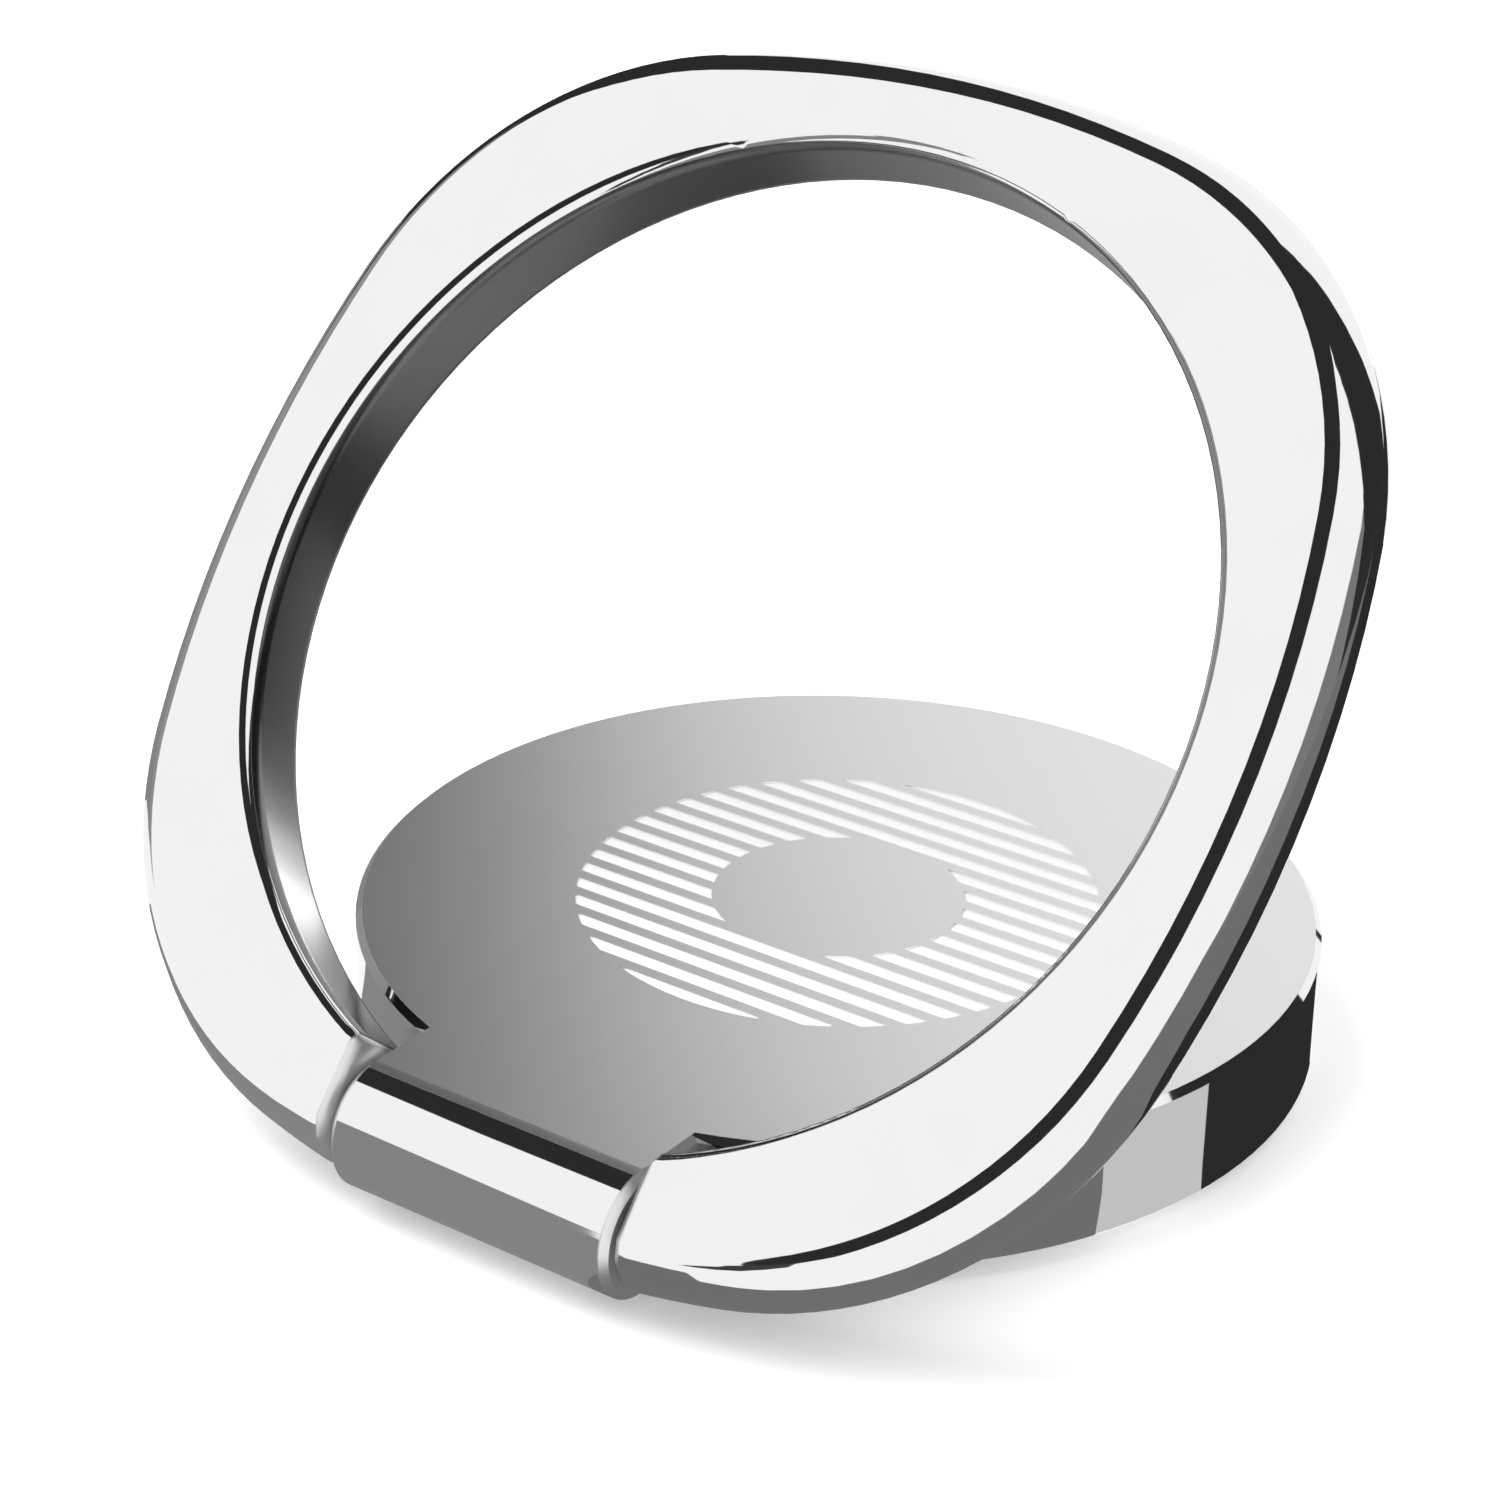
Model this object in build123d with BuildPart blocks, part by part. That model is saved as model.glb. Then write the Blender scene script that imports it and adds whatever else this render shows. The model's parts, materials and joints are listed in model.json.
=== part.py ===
import os
from math import cos, radians, sin

from build123d import *

# All sizes are in millimetres. The origin is on the face that sticks to the phone, on the swivel axis, with +Z
# pointing away from the phone and the hinge on the -Y side.

# Disc, tongue and knuckle
disc_radius = 15.0
disc_height = 4.0
disc_lift = 0.4
disc_edge_chamfer = 0.2
rim_wall = 1.5
tongue_width = 10.0
hinge_setback = 1.4

# Stripes sunk in the disc's top
stripe_outer_radius = 8.2
stripe_inner_radius = 3.95
stripe_pitch = 0.94
stripe_width = 0.5
stripe_count = 18
stripe_depth = 0.06

# Finger ring
ring_angle = 49.5
ring_clearance = 0.3
ring_side_width = 3.1
ring_top_width = 3.1
ring_bow_radius = 37.5
ring_corner_inset = 2.8
ring_front_chamfer = 0.4
ring_hole_chamfer = 0.3
ring_back_chamfer = 0.2
front_bevel_width = 0.65
back_bevel_width = 0.35
back_bevel_depth = 0.85
ridge_land = 0.7
lug_floor = 0.35
lug_gap = 0.2
lug_end_chamfer = 0.2

# Hinge pin and the slotted sleeve that grips it
pin_radius = 0.55
pin_clearance = 0.05
pin_hold = 1.5
pin_end_gap = 0.1
pin_end_chamfer = 0.1
sleeve_wall = 0.3
sleeve_slot = 0.5
sleeve_setback = 0.4

# Plate and pad that stay still on the phone
plate_clearance = 0.3
plate_thickness = 1.0
pad_thickness = 0.6
pad_setback = 0.3

# Stud and rivet on the swivel axis
stud_radius = 2.5
stud_clearance = 0.05
swivel_play = 0.05
rivet_head_radius = 3.4
rivet_head_clearance = 0.4
rivet_head_gap = 0.05
rivet_shank_radius = 1.1
rivet_shank_length = 1.6
rivet_bore_gap = 0.1
rivet_web = 0.5

# Slip washer and conical spring round the stud
washer_bore_clearance = 0.5
washer_width = 4.0
washer_thickness = 0.4
spring_width = 3.5
spring_thickness = 0.25
spring_height = 0.55

# Heights, from the phone upwards
plate_top_z = pad_thickness + plate_thickness
web_bottom_z = plate_top_z - rivet_web
stud_end_z = web_bottom_z - swivel_play
rivet_head_thickness = stud_end_z - pad_thickness - rivet_head_gap
washer_top_z = plate_top_z + washer_thickness
spring_bottom_z = washer_top_z + swivel_play
ceiling_z = spring_bottom_z + spring_height
disc_top_z = disc_lift + disc_height
knuckle_radius = disc_height / 2
hinge_z = disc_lift + knuckle_radius

# Radii and places
pocket_radius = disc_radius - rim_wall
plate_radius = pocket_radius - plate_clearance
washer_inner_radius = stud_radius + washer_bore_clearance
sleeve_bore_radius = pin_radius + pin_clearance
knuckle_bore_radius = sleeve_bore_radius + sleeve_wall
hinge_distance = disc_radius + hinge_setback
lug_face_x = tongue_width / 2 + lug_gap

# Folded flat, the ring's hole clears the disc, its front is level with the disc's top and its foot lines up with
# the knuckle's nose
hole_radius = disc_radius + ring_clearance
ring_corner_radius = hole_radius - ring_corner_inset
ring_half_width = hole_radius + ring_side_width
ring_top_reach = hole_radius + ring_top_width
ring_foot_reach = hinge_distance + knuckle_radius
ring_thickness = knuckle_radius + pin_radius + lug_floor
front_bevel_depth = ring_thickness - back_bevel_depth - ridge_land

# The ring's own plane lies on the hinge axis, with Y up the ring and Z out of its front face
ring_plane = Plane(
    origin=(0, -hinge_distance, hinge_z),
    x_dir=(1, 0, 0),
    z_dir=(0, -sin(radians(ring_angle)), cos(radians(ring_angle))),
)
ring_normal = Axis(ring_plane.origin, ring_plane.z_dir)
back_plane = ring_plane.offset(knuckle_radius - ring_thickness)

os.makedirs("parts", exist_ok=True)

# Turntable: disc, tongue and knuckle in one casting, hollow below
with BuildPart() as turntable:
    with BuildSketch(Plane.XY.offset(disc_lift)):
        Circle(disc_radius)
    extrude(amount=disc_height)
    with BuildSketch(Plane.YZ):
        with BuildLine():
            Line((0, disc_top_z), (-hinge_distance, disc_top_z))
            ThreePointArc(
                (-hinge_distance, disc_top_z),
                (-hinge_distance - knuckle_radius, hinge_z),
                (-hinge_distance, disc_lift),
            )
            Line((-hinge_distance, disc_lift), (0, disc_lift))
            Line((0, disc_lift), (0, disc_top_z))
        make_face()
    extrude(amount=tongue_width / 2, both=True)
    tongue_edges = turntable.faces().filter_by(Axis.X).edges()
    rim_edges = turntable.edges().filter_by(GeomType.CIRCLE).filter_by(Plane.XY)
    chamfer(rim_edges + (tongue_edges - tongue_edges.filter_by(Axis.Z)), disc_edge_chamfer)
    with BuildSketch(Plane.XY.offset(disc_lift)):
        Circle(pocket_radius)
    extrude(amount=ceiling_z - disc_lift, mode=Mode.SUBTRACT)
    with BuildSketch(Plane.XY.offset(stud_end_z)):
        Circle(stud_radius)
    extrude(amount=ceiling_z - stud_end_z)
    with BuildSketch(Plane.XY.offset(stud_end_z)):
        Circle(rivet_shank_radius)
    extrude(amount=rivet_shank_length + rivet_bore_gap, mode=Mode.SUBTRACT)
    with BuildSketch(Plane.YZ):
        with Locations((-hinge_distance, hinge_z)):
            Circle(knuckle_bore_radius)
    extrude(amount=tongue_width / 2, both=True, mode=Mode.SUBTRACT)
    with BuildSketch(Plane.XY.offset(disc_top_z)):
        with GridLocations(stripe_pitch, stripe_pitch, 1, stripe_count):
            Rectangle(2 * stripe_outer_radius, stripe_width)
        Circle(stripe_outer_radius, mode=Mode.INTERSECT)
        Circle(stripe_inner_radius, mode=Mode.SUBTRACT)
    extrude(amount=-stripe_depth, mode=Mode.SUBTRACT)
turntable.part.label = "turntable"
export_step(turntable.part, "parts/turntable.step")

# Finger ring: bowed square outline with a bevelled outer wall, round hole, open between its two lugs
with BuildPart() as finger_ring:
    with BuildSketch(back_plane) as outline:
        with Locations((ring_half_width - ring_bow_radius, hinge_distance)):
            Circle(ring_bow_radius)
        with Locations((ring_bow_radius - ring_half_width, hinge_distance)):
            Circle(ring_bow_radius, mode=Mode.INTERSECT)
        with Locations((0, hinge_distance + ring_top_reach - ring_bow_radius)):
            Circle(ring_bow_radius, mode=Mode.INTERSECT)
        with Locations((0, hinge_distance - ring_foot_reach + ring_bow_radius)):
            Circle(ring_bow_radius, mode=Mode.INTERSECT)
        fillet(outline.vertices(), ring_corner_radius)
    extrude(amount=ring_thickness)
    front_face = finger_ring.faces().sort_by(ring_normal)[-1]
    chamfer(front_face.edges(), front_bevel_width, front_bevel_depth, reference=front_face)
    back_face = finger_ring.faces().sort_by(ring_normal)[0]
    chamfer(back_face.edges(), back_bevel_width, back_bevel_depth, reference=back_face)
    front_face = finger_ring.faces().sort_by(ring_normal)[-1]
    chamfer(front_face.edges(), ring_front_chamfer)
    back_face = finger_ring.faces().sort_by(ring_normal)[0]
    chamfer(back_face.edges(), ring_back_chamfer)
    with BuildSketch(back_plane):
        with Locations((0, hinge_distance)):
            Circle(hole_radius)
    extrude(amount=ring_thickness, mode=Mode.SUBTRACT)
    hole_wall = finger_ring.faces().filter_by(GeomType.CYLINDER).sort_by(SortBy.AREA)[-1]
    hole_edges = hole_wall.edges().filter_by(GeomType.CIRCLE).sort_by(ring_normal)
    chamfer(hole_edges[-1], ring_hole_chamfer)
    chamfer(hole_edges[0], ring_back_chamfer)
    with BuildSketch(back_plane):
        with Locations((0, hinge_distance)):
            Rectangle(2 * lug_face_x, 2 * ring_foot_reach, align=(Align.CENTER, Align.MAX))
    extrude(amount=ring_thickness, mode=Mode.SUBTRACT)
    chamfer(finger_ring.faces().filter_by(Axis.X).edges(), lug_end_chamfer)
    for side in (-1, 1):
        with BuildSketch(Plane.YZ.offset(side * lug_face_x)):
            with Locations((-hinge_distance, hinge_z)):
                Circle(pin_radius)
        extrude(amount=side * (pin_hold + pin_end_gap), mode=Mode.SUBTRACT)
finger_ring.part.label = "finger_ring"
export_step(finger_ring.part, "parts/finger_ring.step")

# Hinge pin, held in the lugs and turning in the sleeve
with BuildPart() as hinge_pin:
    with BuildSketch(Plane.YZ):
        with Locations((-hinge_distance, hinge_z)):
            Circle(pin_radius)
    extrude(amount=lug_face_x + pin_hold, both=True)
    chamfer(hinge_pin.edges().filter_by(GeomType.CIRCLE), pin_end_chamfer)
hinge_pin.part.label = "hinge_pin"
export_step(hinge_pin.part, "parts/hinge_pin.step")

# Friction sleeve: spring tube in the knuckle, slotted along its underside
with BuildPart() as friction_sleeve:
    with BuildSketch(Plane.YZ):
        with Locations((-hinge_distance, hinge_z)):
            Circle(knuckle_bore_radius)
            Circle(sleeve_bore_radius, mode=Mode.SUBTRACT)
            Rectangle(sleeve_slot, knuckle_radius, align=(Align.CENTER, Align.MAX), mode=Mode.SUBTRACT)
    extrude(amount=tongue_width / 2 - sleeve_setback, both=True)
friction_sleeve.part.label = "friction_sleeve"
export_step(friction_sleeve.part, "parts/friction_sleeve.step")

# Base plate: stays still in the disc's pocket, with a stepped centre hole for the stud and the rivet head
with BuildPart() as base_plate:
    with BuildSketch(Plane.XY.offset(pad_thickness)):
        Circle(plate_radius)
    extrude(amount=plate_thickness)
    with Locations(base_plate.faces().sort_by(Axis.Z)[0]):
        CounterBoreHole(stud_radius + stud_clearance, rivet_head_radius + rivet_head_clearance,
                        plate_thickness - rivet_web)
base_plate.part.label = "base_plate"
export_step(base_plate.part, "parts/base_plate.step")

# Adhesive pad
with BuildPart() as adhesive_pad:
    with BuildSketch(Plane.XY):
        Circle(plate_radius - pad_setback)
    extrude(amount=pad_thickness)
adhesive_pad.part.label = "adhesive_pad"
export_step(adhesive_pad.part, "parts/adhesive_pad.step")

# Retaining rivet: head under the plate's web, shank pressed up into the stud
with BuildPart() as retaining_rivet:
    with BuildSketch(Plane.XY.offset(stud_end_z)):
        Circle(rivet_head_radius)
    extrude(amount=-rivet_head_thickness)
    with BuildSketch(Plane.XY.offset(stud_end_z)):
        Circle(rivet_shank_radius)
    extrude(amount=rivet_shank_length)
retaining_rivet.part.label = "retaining_rivet"
export_step(retaining_rivet.part, "parts/retaining_rivet.step")

# Slip washer between the plate and the spring
with BuildPart() as slip_washer:
    with BuildSketch(Plane.XY.offset(plate_top_z)):
        Circle(washer_inner_radius + washer_width)
        Circle(washer_inner_radius, mode=Mode.SUBTRACT)
    extrude(amount=washer_thickness)
slip_washer.part.label = "slip_washer"
export_step(slip_washer.part, "parts/slip_washer.step")

# Disc spring: cone that presses up on the disc's ceiling at its inner edge
with BuildPart() as disc_spring:
    with BuildSketch(Plane.XZ):
        with BuildLine():
            Polyline(
                (washer_inner_radius + spring_width, spring_bottom_z),
                (washer_inner_radius + spring_width, spring_bottom_z + spring_thickness),
                (washer_inner_radius, ceiling_z),
                (washer_inner_radius, ceiling_z - spring_thickness),
                close=True,
            )
        make_face()
    revolve(axis=Axis.Z)
disc_spring.part.label = "disc_spring"
export_step(disc_spring.part, "parts/disc_spring.step")
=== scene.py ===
import json
from math import cos, radians, sin

import bpy
from mathutils import Matrix, Vector


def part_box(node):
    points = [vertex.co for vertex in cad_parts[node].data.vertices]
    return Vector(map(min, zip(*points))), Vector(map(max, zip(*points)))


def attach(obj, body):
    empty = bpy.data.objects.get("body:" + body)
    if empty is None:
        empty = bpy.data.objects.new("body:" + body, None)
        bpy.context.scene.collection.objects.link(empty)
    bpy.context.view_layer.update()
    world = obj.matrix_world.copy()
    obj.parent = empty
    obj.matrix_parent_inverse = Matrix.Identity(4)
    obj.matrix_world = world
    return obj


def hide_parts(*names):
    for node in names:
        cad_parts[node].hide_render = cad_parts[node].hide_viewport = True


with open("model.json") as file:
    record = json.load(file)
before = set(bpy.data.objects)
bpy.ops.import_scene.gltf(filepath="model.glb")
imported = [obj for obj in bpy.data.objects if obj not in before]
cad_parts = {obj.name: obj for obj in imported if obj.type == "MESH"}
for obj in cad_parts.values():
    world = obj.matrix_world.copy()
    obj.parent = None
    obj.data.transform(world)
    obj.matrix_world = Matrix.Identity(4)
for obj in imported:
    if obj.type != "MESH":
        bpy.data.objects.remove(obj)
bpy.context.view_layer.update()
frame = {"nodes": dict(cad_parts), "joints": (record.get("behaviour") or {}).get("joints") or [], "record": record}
mm = 0.001  # the scene is in metres
print("frame loaded:", len(frame["nodes"]), "pieces")


class Wire:  # one output socket, so that shader maths reads as plain sums
    def __init__(self, finish, socket):
        self.finish = finish
        self.socket = socket

    def calc(self, operation, first, second):
        return self.finish.node("ShaderNodeMath", {"operation": operation}, {0: first, 1: second})

    def __add__(self, other):
        return self.calc("ADD", self, other)

    def __radd__(self, other):
        return self.calc("ADD", other, self)

    def __sub__(self, other):
        return self.calc("SUBTRACT", self, other)

    def __rsub__(self, other):
        return self.calc("SUBTRACT", other, self)

    def __mul__(self, other):
        return self.calc("MULTIPLY", self, other)

    def __rmul__(self, other):
        return self.calc("MULTIPLY", other, self)

    def __gt__(self, other):
        return self.calc("GREATER_THAN", self, other)

    def __lt__(self, other):
        return self.calc("LESS_THAN", self, other)


class Finish:  # one node tree, for a material or the world
    def __init__(self, tree):
        self.tree = tree
        tree.nodes.clear()

    def node(self, kind, settings=None, sockets=None, output=0):
        made = self.tree.nodes.new(kind)
        for key, value in (settings or {}).items():
            setattr(made, key, value)
        for key, value in (sockets or {}).items():
            if isinstance(value, Wire):
                self.tree.links.new(value.socket, made.inputs[key])
            else:
                made.inputs[key].default_value = value
        return Wire(self, made.outputs[output]) if made.outputs else made

    def place(self):  # where a point is on the piece, in metres
        return self.node("ShaderNodeTexCoord", output="Object")

    def split(self, vector):
        made = self.node("ShaderNodeSeparateXYZ", None, {"Vector": vector}).socket.node
        return [Wire(self, out) for out in made.outputs]

    def noise(self, vector, grain, detail=2.0, roughness=0.5):  # grain is the size of one blotch
        return self.node("ShaderNodeTexNoise", None,
                         {"Vector": vector, "Scale": 1 / grain, "Detail": detail, "Roughness": roughness})

    def stretch(self, vector, scale):
        return self.node("ShaderNodeMapping", None, {"Vector": vector, "Scale": scale})

    def bump(self, height, depth, strength):
        return self.node("ShaderNodeBump", None, {"Height": height, "Distance": depth, "Strength": strength})

    def mixColor(self, amount, first, second):
        sockets = {"Factor": amount, 6: first, 7: second}
        return self.node("ShaderNodeMix", {"data_type": "RGBA"}, sockets, output=2)

    def surface(self, **sockets):
        named = {key[0].upper() + "".join(" " + c if c.isupper() else c for c in key[1:]): value
                 for key, value in sockets.items()}
        shader = self.node("ShaderNodeBsdfPrincipled", None, named)
        self.node("ShaderNodeOutputMaterial", None, {"Surface": shader})


def newFinish(name):
    material = bpy.data.materials.new(name)
    material.use_nodes = True
    return material, Finish(material.node_tree)


def gray(level):
    return (level, level, level, 1)


# Where the finger ring stands at rest, measured from its hinge
ringPlace = {"lean": 49.5, "boreReach": 16.4 * mm, "boreRadius": 15.33 * mm}  # lean in degrees
hinge = Vector(frame["joints"][1]["pos_m"])
lean = radians(ringPlace["lean"])
ringFront = Vector((0, -sin(lean), cos(lean)))
ringUp = Vector((0, cos(lean), sin(lean)))
boreCenter = hinge + ringUp * ringPlace["boreReach"]

# Bright plate on the ring: mirror plating with a faint haze, satin in the bore with painted shade as a dark colour,
# duller beside the knuckle
brightPlate = {"color": (0.9, 0.9, 0.905, 1), "hazeColor": (0.87, 0.87, 0.88, 1), "hazeSize": 3 * mm,
               "roughness": 0.03, "hazeRoughness": 0.03, "boreShadeColor": (0.2, 0.2, 0.205, 1), "boreRoughness": 0.18,
               "gapX": 5.45 * mm, "gapReach": 4 * mm, "gapRoughness": 0.35}


def nearHinge(y, z, reach):
    return ((y - hinge.y) * (y - hinge.y) + (z - hinge.z) * (z - hinge.z)) < reach ** 2


def makeBrightPlate():
    material, f = newFinish("bright_plate")
    place = f.place()
    x, y, z = f.split(place)
    along = (y - boreCenter.y) * ringUp.y + (z - boreCenter.z) * ringUp.z
    bore = (x * x + along * along) < ringPlace["boreRadius"] ** 2
    gap = (x * x < brightPlate["gapX"] ** 2) * nearHinge(y, z, brightPlate["gapReach"])
    haze = f.noise(place, brightPlate["hazeSize"], detail=4)
    outside = f.mixColor(haze, brightPlate["color"], brightPlate["hazeColor"])
    roughness = brightPlate["roughness"] + haze * brightPlate["hazeRoughness"] + gap * brightPlate["gapRoughness"]
    # inside the bore the colour turns dark: painted shade over the bore's satin finish
    f.surface(baseColor=f.mixColor(bore, outside, brightPlate["boreShadeColor"]), metallic=1,
              roughness=roughness + bore * (brightPlate["boreRoughness"] - brightPlate["roughness"]))
    return material


# Satin plate on the disc's top, bright plate on its sides, pale stripes
satinPlate = {"color": (0.85, 0.85, 0.855, 1), "clearColor": (0.9, 0.9, 0.905, 1), "roughness": 0.38,
              "grain": 0.09 * mm, "grainDepth": 0.004 * mm, "grainBump": 0.5,
              "nose": 0.35 * mm, "noseDrop": 0.035 * mm,  # how far the satin reaches round the knuckle
              "gapX": 4.75 * mm, "gapReach": 3 * mm, "gapRoughness": 0.35,
              "sideColor": (0.88, 0.88, 0.885, 1), "sideRoughness": 0.04,
              "stripeColor": (0.83, 0.83, 0.83, 1), "stripeRoughness": 0.55, "stripeDepth": 0.06 * mm,
              "stripeReach": 8.3 * mm, "edge": 0.003 * mm}


def makeSatinPlate():
    material, f = newFinish("satin_plate")
    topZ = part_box("turntable")[1].z
    noseY = hinge.y - satinPlate["nose"]
    place = f.place()
    x, y, z = f.split(place)
    flat = z > topZ - satinPlate["edge"]
    nose = (z > topZ - satinPlate["noseDrop"]) * (y < noseY + satinPlate["nose"])
    satin = (flat + nose - flat * nose) * (y > noseY)
    gap = (x * x > satinPlate["gapX"] ** 2) * nearHinge(y, z, satinPlate["gapReach"])
    near = (x * x + y * y) < satinPlate["stripeReach"] ** 2
    deep = topZ - satinPlate["stripeDepth"]
    stripe = near * (z > deep - satinPlate["edge"]) * (z < deep + satinPlate["edge"])
    grain = f.noise(place, satinPlate["grain"], detail=3, roughness=0.6)
    top = f.mixColor(grain, satinPlate["color"], satinPlate["clearColor"])
    color = f.mixColor(satin, satinPlate["sideColor"], top)
    matt = satin + stripe
    roughness = satinPlate["sideRoughness"] + satin * (satinPlate["roughness"] - satinPlate["sideRoughness"])
    roughness = roughness + gap * (1 - satin) * satinPlate["gapRoughness"]
    f.surface(baseColor=f.mixColor(stripe, color, satinPlate["stripeColor"]), metallic=1 - stripe,
              roughness=roughness + stripe * (satinPlate["stripeRoughness"] - satinPlate["sideRoughness"]),
              normal=f.bump(grain * matt, satinPlate["grainDepth"], satinPlate["grainBump"]))
    return material


# Plain steel of the hidden pieces, with fine drawn lines
steel = {"color": (0.5, 0.5, 0.51, 1), "lineColor": (0.6, 0.6, 0.61, 1), "line": 0.12 * mm, "length": 12,
         "roughness": 0.3, "lineRoughness": 0.12, "depth": 0.003 * mm, "bump": 0.4}


def makeSteel():
    material, f = newFinish("steel")
    lines = f.noise(f.stretch(f.place(), (1 / steel["length"], 1, 1)), steel["line"], detail=3)
    f.surface(baseColor=f.mixColor(lines, steel["color"], steel["lineColor"]), metallic=1,
              roughness=steel["roughness"] + lines * steel["lineRoughness"],
              normal=f.bump(lines, steel["depth"], steel["bump"]))
    return material


# Natural plastic of the slip washer
slipPlastic = {"color": (0.82, 0.81, 0.77, 1), "cloudColor": (0.87, 0.86, 0.83, 1), "cloud": 0.8 * mm,
               "roughness": 0.45, "cloudRoughness": 0.1}


def makeSlipPlastic():
    material, f = newFinish("slip_plastic")
    cloud = f.noise(f.place(), slipPlastic["cloud"], detail=4)
    f.surface(baseColor=f.mixColor(cloud, slipPlastic["color"], slipPlastic["cloudColor"]),
              roughness=slipPlastic["roughness"] + cloud * slipPlastic["cloudRoughness"])
    return material


# Adhesive foam of the pad
padFoam = {"color": (0.05, 0.05, 0.055, 1), "cellColor": (0.1, 0.1, 0.105, 1), "cell": 0.16 * mm,
           "depth": 0.03 * mm, "bump": 0.6, "roughness": 0.7, "cellRoughness": 0.2}


def makePadFoam():
    material, f = newFinish("pad_foam")
    cells = f.node("ShaderNodeTexVoronoi", None, {"Vector": f.place(), "Scale": 1 / padFoam["cell"]})
    f.surface(baseColor=f.mixColor(cells, padFoam["color"], padFoam["cellColor"]),
              roughness=padFoam["roughness"] + cells * padFoam["cellRoughness"],
              normal=f.bump(cells, padFoam["depth"], padFoam["bump"]))
    return material


def dressPieces():
    finishes = {"bright_plate": makeBrightPlate(), "satin_plate": makeSatinPlate(), "steel": makeSteel(),
                "slip_plastic": makeSlipPlastic(), "pad_foam": makePadFoam()}
    for row in frame["record"]["subparts"]:
        piece = frame["nodes"][row["node"]]
        piece.data.materials.clear()
        piece.data.materials.append(finishes[row["material_slot"]])
    print("finishes on:", len(finishes), "slots")


# Soft ring: the ring's solid with softened edges, from narrow strips round its flat faces and its bore
softRing = {"faceEdge": 0.25 * mm, "boreFrontEdge": 0.5 * mm, "boreBackEdge": 0.12 * mm,
            "lugEdgeX": 5.68 * mm, "lugFaceX": 5.4 * mm, "closeBy": 0.01 * mm,
            "weld": 0.0001 * mm, "largeFace": 20 * mm * mm,
            "sameFlat": 0.3, "flat": 2, "smooth": 50}  # these three in degrees


def pickFaces(piece, wanted):  # leaves the piece in edit mode with those faces selected
    bpy.ops.object.mode_set(mode="OBJECT")
    for face in piece.data.polygons:
        face.select = wanted(face)
    bpy.ops.object.mode_set(mode="EDIT")


def makeSoftRing():
    node = frame["nodes"]["finger_ring"]
    ring = bpy.data.objects.new("soft_ring", node.data.copy())
    bpy.context.scene.collection.objects.link(ring)
    bpy.ops.object.select_all(action="DESELECT")
    ring.select_set(True)
    bpy.context.view_layer.objects.active = ring
    bpy.ops.mesh.customdata_custom_splitnormals_clear()
    bpy.ops.object.mode_set(mode="EDIT")
    bpy.ops.mesh.select_mode(type="FACE")
    bpy.ops.mesh.select_all(action="SELECT")
    bpy.ops.mesh.remove_doubles(threshold=softRing["weld"])
    bpy.ops.mesh.dissolve_limited(angle_limit=radians(softRing["sameFlat"]))
    flat = cos(radians(softRing["flat"]))
    pickFaces(ring, lambda face: abs(face.normal.dot(ringFront)) > flat and face.area > softRing["largeFace"])
    bpy.ops.mesh.inset(thickness=softRing["faceEdge"])

    def inBore(face):
        out = face.center - boreCenter
        out -= ringFront * out.dot(ringFront)
        return out.length < ringPlace["boreRadius"] and face.normal.dot(out.normalized()) < -flat

    def onLugFace(edge):
        return all(abs(abs(ring.data.vertices[i].co.x) - softRing["lugFaceX"]) < softRing["closeBy"]
                   for i in edge.vertices)

    pickFaces(ring, inBore)
    levels = [(ring.data.vertices[i].co - hinge).dot(ringFront)
              for face in ring.data.polygons if face.select for i in face.vertices]
    for level in (max(levels) - softRing["boreFrontEdge"], min(levels) + softRing["boreBackEdge"]):
        pickFaces(ring, inBore)
        bpy.ops.mesh.bisect(plane_co=hinge + ringFront * level, plane_no=ringFront)
    for x in (-softRing["lugEdgeX"], softRing["lugEdgeX"]):
        bpy.ops.mesh.select_all(action="SELECT")
        bpy.ops.mesh.bisect(plane_co=(x, 0, 0), plane_no=(1, 0, 0))
    bpy.ops.object.mode_set(mode="OBJECT")
    bpy.ops.object.shade_smooth_by_angle(angle=radians(softRing["smooth"]))
    bpy.ops.object.mode_set(mode="EDIT")
    bpy.ops.mesh.select_mode(type="EDGE")
    bpy.ops.mesh.select_all(action="DESELECT")
    bpy.ops.object.mode_set(mode="OBJECT")
    for edge in ring.data.edges:  # the lugs' faces stay flat up to their end chamfers
        edge.select = onLugFace(edge)
    bpy.ops.object.mode_set(mode="EDIT")
    bpy.ops.mesh.mark_sharp()
    bpy.ops.object.mode_set(mode="OBJECT")
    ring.data.materials.clear()
    ring.data.materials.append(node.data.materials[0])
    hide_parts("finger_ring")
    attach(ring, "ring")
    print("soft ring:", len(ring.data.polygons), "faces")


# Floor: white to the camera and to metal, darker where the piece stands on it, clear from below
floor = {"size": 4, "cells": 40, "drop": 0.05 * mm,  # small cells keep the hair's drop exact
         "color": (0.8, 0.8, 0.8, 1), "glow": 0.3}


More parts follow.
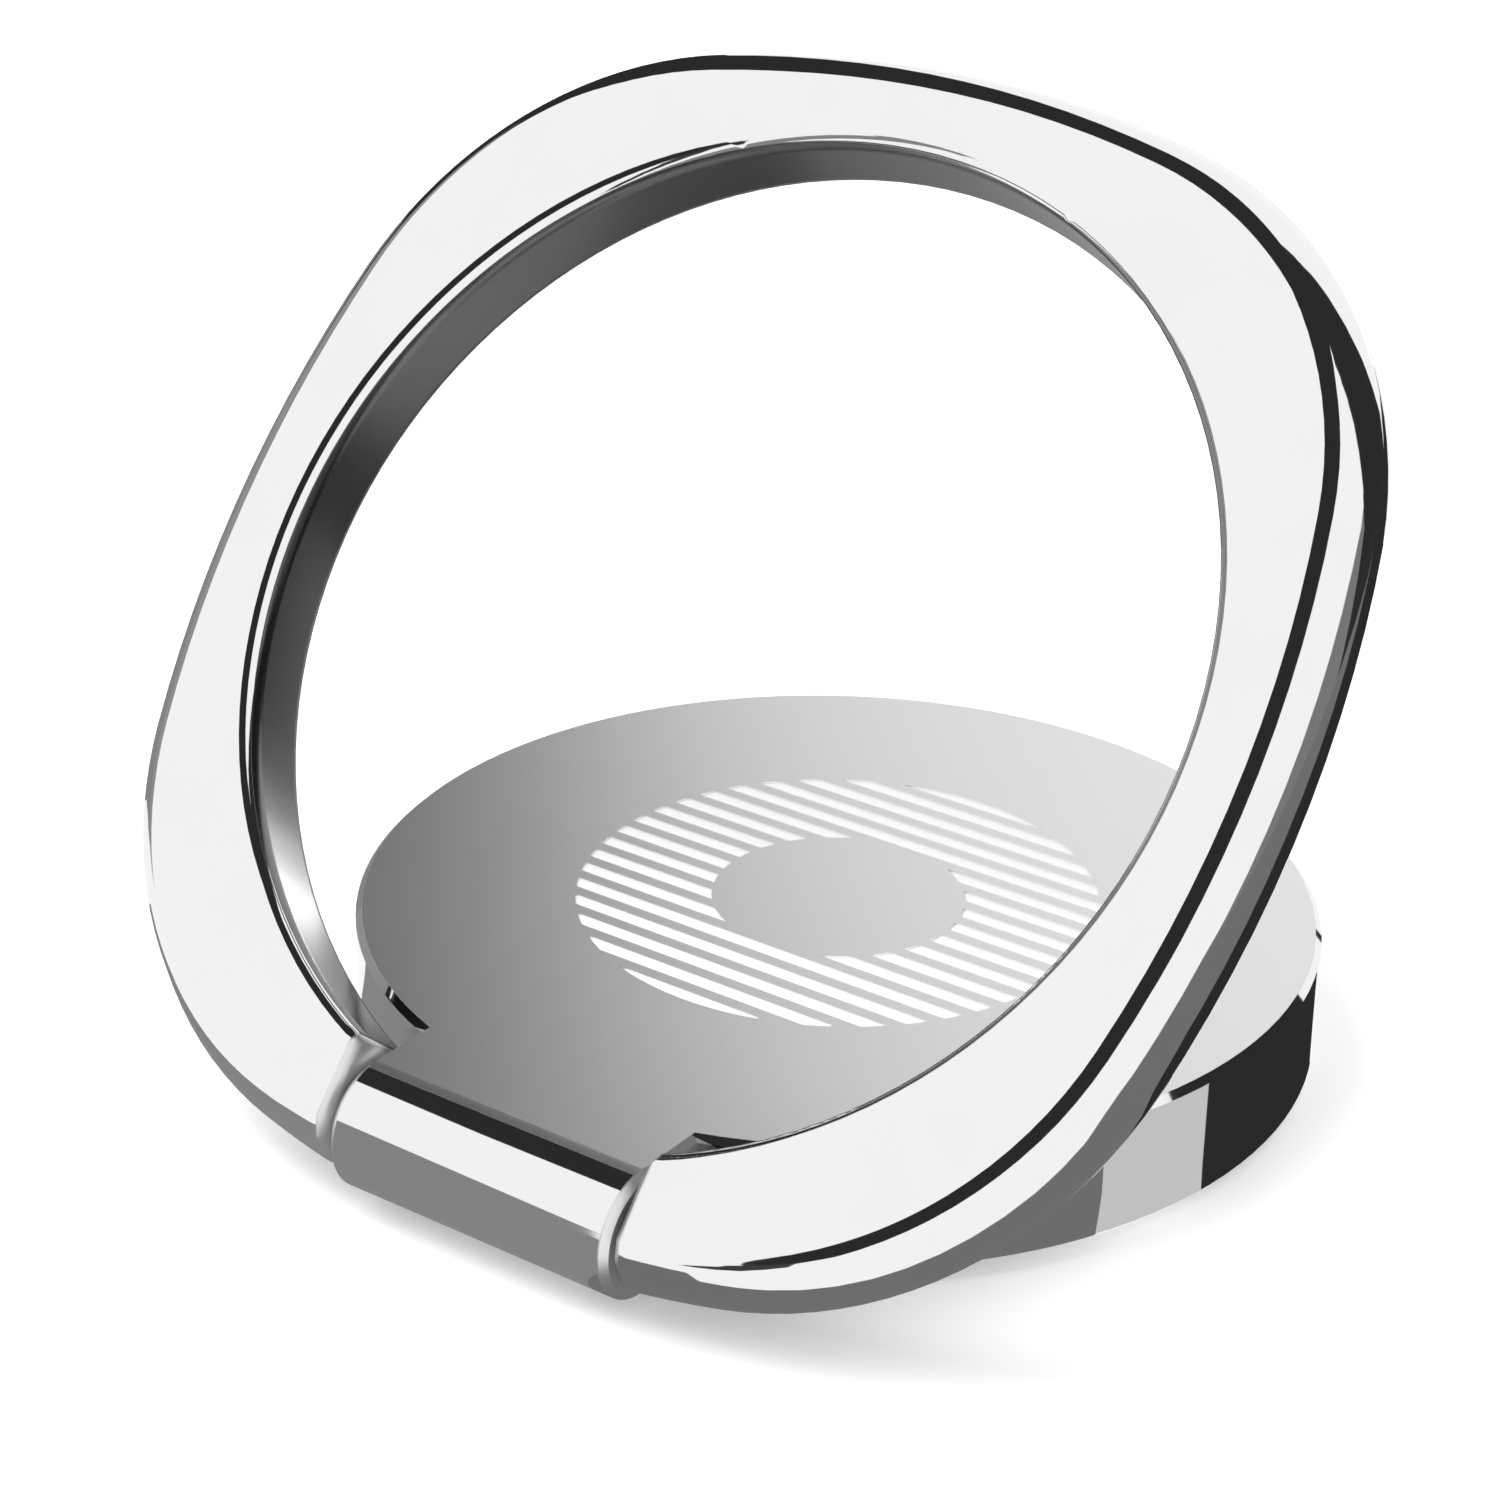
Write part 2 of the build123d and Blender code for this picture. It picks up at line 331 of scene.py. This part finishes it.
def makeFloor():
    bpy.ops.mesh.primitive_grid_add(x_subdivisions=floor["cells"], y_subdivisions=floor["cells"],
                                    size=floor["size"], location=(0, 0, -floor["drop"]))
    plane = bpy.context.object
    plane.name = "floor"
    material, f = newFinish("floor")
    diffuse = f.node("ShaderNodeBsdfDiffuse", None, {"Color": floor["color"]})
    glow = f.node("ShaderNodeEmission", None, {"Color": gray(1), "Strength": floor["glow"]})
    seen = f.node("ShaderNodeAddShader", None, {0: diffuse, 1: glow})
    white = f.node("ShaderNodeEmission", None, {"Color": gray(1), "Strength": 1})
    ray = f.node("ShaderNodeLightPath", output="Is Camera Ray")
    lit = f.node("ShaderNodeMixShader", None, {0: ray, 1: white, 2: seen})
    below = f.node("ShaderNodeNewGeometry", output="Backfacing")
    sided = f.node("ShaderNodeMixShader", None, {0: below, 1: lit, 2: f.node("ShaderNodeBsdfTransparent")})
    f.node("ShaderNodeOutputMaterial", None, {"Surface": sided})
    plane.data.materials.append(material)
    plane.visible_diffuse = False  # no bounce light, so the pad underneath is lit evenly
    print("floor set")


# Flags: gray and black cards, and one bright one for the bore, that only metal sees
cardHeight = 0.01  # mm, just clear of the floor
lowFlags = {  # corners in mm, on the floor unless they have a height of their own
    "flagFront": {"shade": 0.25, "corners": [
        (-12, -9), (-22, -8), (-28, -13), (-23, -17), (-17, -19.5), (-12, -21.5), (-11, -24), (-19, -34), (-42, -64),
        (-167, -224), (-307, -404), (-220, -400), (-60, -130), (-17, -58), (-10, -46), (-3, -34), (1.5, -25),
        (3.4, -23.3), (3.4, -14), (-4, -13.5)]},
    "flagRight": {"shade": 0.17, "corners": [
        (3.4, -14), (3.4, -23.3), (6, -22.3), (7, -20.3), (9, -19.6), (11, -18.9), (14, -18), (20, -16.8), (25, -15.8),
        (31, -15.2), (45, -17.5), (70, -19), (420, -8), (420, 480), (154, 204), (55, 26), (32, 0), (25, -3), (20, -3),
        (14.5, -4.5), (11, -8.5)]},
    "flagStep": {"shade": 0.6, "corners": [
        (16.5, -5.85, 0), (16.5, -1.1, 0), (16.5, -1.1, 3.6), (16.5, -5.85, 3.6)]},
    "flagFoot": {"shade": 0.6, "height": 0.02, "corners": [
        (13.5, -6.6), (16.5, -5.85), (16.5, -1.1), (14.8, -2.6)]},
    "flagBack": {"shade": 0.025, "corners": [
        (14.5, -4.5), (20, -3), (25, -3), (32, 0), (55, 26), (154, 204), (420, 560), (130, 560), (50, 300), (22, 200),
        (12, 160), (0, 142), (-13, 130), (4, 118), (12, 90), (14, 60), (12.2, 36), (11, 26), (10.8, 20), (11.4, 15.3),
        (13.5, 6.9)]},
    "flagBehind": {"shade": 0.25, "corners": [
        (-15, 3), (-12, 12), (-9, 20), (-14, 55), (-60, 62), (-420, 300), (-420, -110), (-100, -26), (-60, -13),
        (-36, -5), (-24, -0.5)]},
    "flagBore": {"shade": 0.45, "height": 0.02, "corners": [
        (-11, 8), (-8, 16), (-14, 40), (-16, 52), (-36, 60), (-32, 30), (-22, 4)]},
    "flagGlow": {"shade": 8, "height": 0.02, "corners": [
        (-16, 60), (-20, 100), (-18, 128), (-6, 142), (0, 160), (4, 220), (-50, 220), (-44, 80)]},
    "flagLine": {"shade": 0.05, "height": 0.02, "corners": [
        (4, -27), (6.5, -30), (8, -42), (6, -62), (2, -100), (-5, -235), (-45, -235), (-12, -100), (-4, -62),
        (2, -40)]},
}
airFlags = {  # pairs of azimuth from +X and elevation, along both edges of each card, distance in mm
    "flagArch": {"shade": 0.025, "distance": 230, "edges": [
        ((-101, -3), (-91, -3)), ((-103, 10), (-82, 6)), ((-104, 22), (-74, 13)), ((-106, 36), (-62, 22)),
        ((-101, 47), (-48, 35)), ((-100, 57), (-36, 49)), ((-107, 66), (-20, 59)), ((-114, 79), (5, 69)),
        ((-145, 72), (40, 66)), ((-163, 64), (95, 62)), ((197, 56), (120, 52)), ((183, 49), (126, 40)),
        ((166, 38), (129.5, 28)), ((158, 22), (131.5, 14)), ((158, -3), (133, -3))]},
    "flagSide": {"shade": 0.3, "distance": 235, "edges": [
        ((140, -3), (140, 28)), ((160, -3), (160, 28)), ((187, -3), (187, 28)), ((200, -3), (200, 12))]},
    "flagCorner": {"shade": 0.025, "distance": 235, "edges": [
        ((30, 40), (24, 66)), ((36, -3), (36, 69)), ((50, -3), (50, 68)), ((60, -3), (60, 68)), ((68, -3), (68, 68)),
        ((70, 18), (74, 66)), ((70, 44), (80, 66))]},
    "flagEdge": {"shade": 0.2, "distance": 235, "edges": [
        ((0, -3), (0, 1)), ((12, -3), (12, 9)), ((24, -3), (24, 17)), ((36, -3), (36, 22))]},
    "flagLow": {"shade": 0.25, "distance": 235, "edges": [
        ((-128, -3), (-128, 13)), ((-120, -3), (-120, 9)), ((-117.5, -3), (-118, 8))]},
}


def makeFlag(name, corners, faces, shade):
    mesh = bpy.data.meshes.new(name)
    mesh.from_pydata(corners, [], faces)
    card = bpy.data.objects.new(name, mesh)
    bpy.context.scene.collection.objects.link(card)
    material, f = newFinish(name)
    glow = f.node("ShaderNodeEmission", None, {"Color": gray(shade), "Strength": 1})
    f.node("ShaderNodeOutputMaterial", None, {"Surface": glow})
    mesh.materials.append(material)
    card.visible_camera = card.visible_diffuse = card.visible_shadow = False
    card.visible_transmission = card.visible_volume_scatter = False


def toward(azimuth, elevation, distance):
    flat = cos(radians(elevation))
    return Vector((cos(radians(azimuth)) * flat, sin(radians(azimuth)) * flat, sin(radians(elevation)))) * distance


def makeFlags():
    for name, flag in lowFlags.items():
        height = flag.get("height", cardHeight)
        corners = [Vector((corner + (height,))[:3]) * mm for corner in flag["corners"]]
        makeFlag(name, corners, [tuple(range(len(corners)))], flag["shade"])
    for name, flag in airFlags.items():
        corners = [toward(*point, flag["distance"] * mm) for pair in flag["edges"] for point in pair]
        faces = [(i, i + 1, i + 3, i + 2) for i in range(0, len(corners) - 2, 2)]
        makeFlag(name, corners, faces, flag["shade"])
    print("flags set:", len(lowFlags) + len(airFlags))


# Soft studio light: a white surround and two large lamps
studio = {"surround": 0.6,
          "lamps": {"keyLamp": {"azimuth": 215, "elevation": 55, "distance": 0.5, "size": 0.4, "power": 2.2},
                    "fillLamp": {"azimuth": -30, "elevation": 50, "distance": 0.6, "size": 0.5, "power": 1.6}}}


def makeLight():
    world = bpy.data.worlds.new("studio")
    world.use_nodes = True
    bpy.context.scene.world = world
    f = Finish(world.node_tree)
    ray = f.node("ShaderNodeLightPath", output="Is Diffuse Ray")
    strength = 1 - ray * (1 - studio["surround"])
    light = f.node("ShaderNodeBackground", None, {"Color": gray(1), "Strength": strength})
    f.node("ShaderNodeOutputWorld", None, {"Surface": light})
    for name, lamp in studio["lamps"].items():
        data = bpy.data.lights.new(name, "AREA")
        data.size = lamp["size"]
        data.energy = lamp["power"]
        body = bpy.data.objects.new(name, data)
        bpy.context.scene.collection.objects.link(body)
        body.location = toward(lamp["azimuth"], lamp["elevation"], lamp["distance"])
        body.rotation_euler = body.location.to_track_quat("Z", "Y").to_euler()
        body.visible_glossy = body.visible_camera = False
    print("light set:", len(studio["lamps"]), "lamps")


# Camera: where the photo was taken from, measured from the centre of the disc's top
view = {"azimuth": 35.29, "elevation": 25.74, "roll": 1.02, "lens": 89.29, "sensor": 36,
        "across": -2.75, "up": 4.53, "back": 116.17, "clipStart": 5}


def makeCamera():
    azimuth, elevation, roll = (radians(view[key]) for key in ("azimuth", "elevation", "roll"))
    back = Vector((sin(azimuth) * cos(elevation), -cos(azimuth) * cos(elevation), sin(elevation)))
    right = Vector((cos(azimuth), sin(azimuth), 0))
    up = back.cross(right)
    right, up = right * cos(roll) + up * sin(roll), up * cos(roll) - right * sin(roll)
    center = Vector((0, 0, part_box("turntable")[1].z))
    data = bpy.data.cameras.new("camera")
    data.sensor_width = view["sensor"]
    data.lens = view["lens"]
    data.clip_start = view["clipStart"] * mm
    body = bpy.data.objects.new("camera", data)
    bpy.context.scene.collection.objects.link(body)
    body.matrix_world = Matrix((right, up, back)).transposed().to_4x4()
    body.location = center + (right * view["across"] + up * view["up"] + back * view["back"]) * mm
    bpy.context.scene.camera = body
    print("camera set")


dressPieces()
makeSoftRing()
makeFloor()
makeFlags()
makeLight()
makeCamera()
bpy.context.scene.view_settings.view_transform = "Standard"
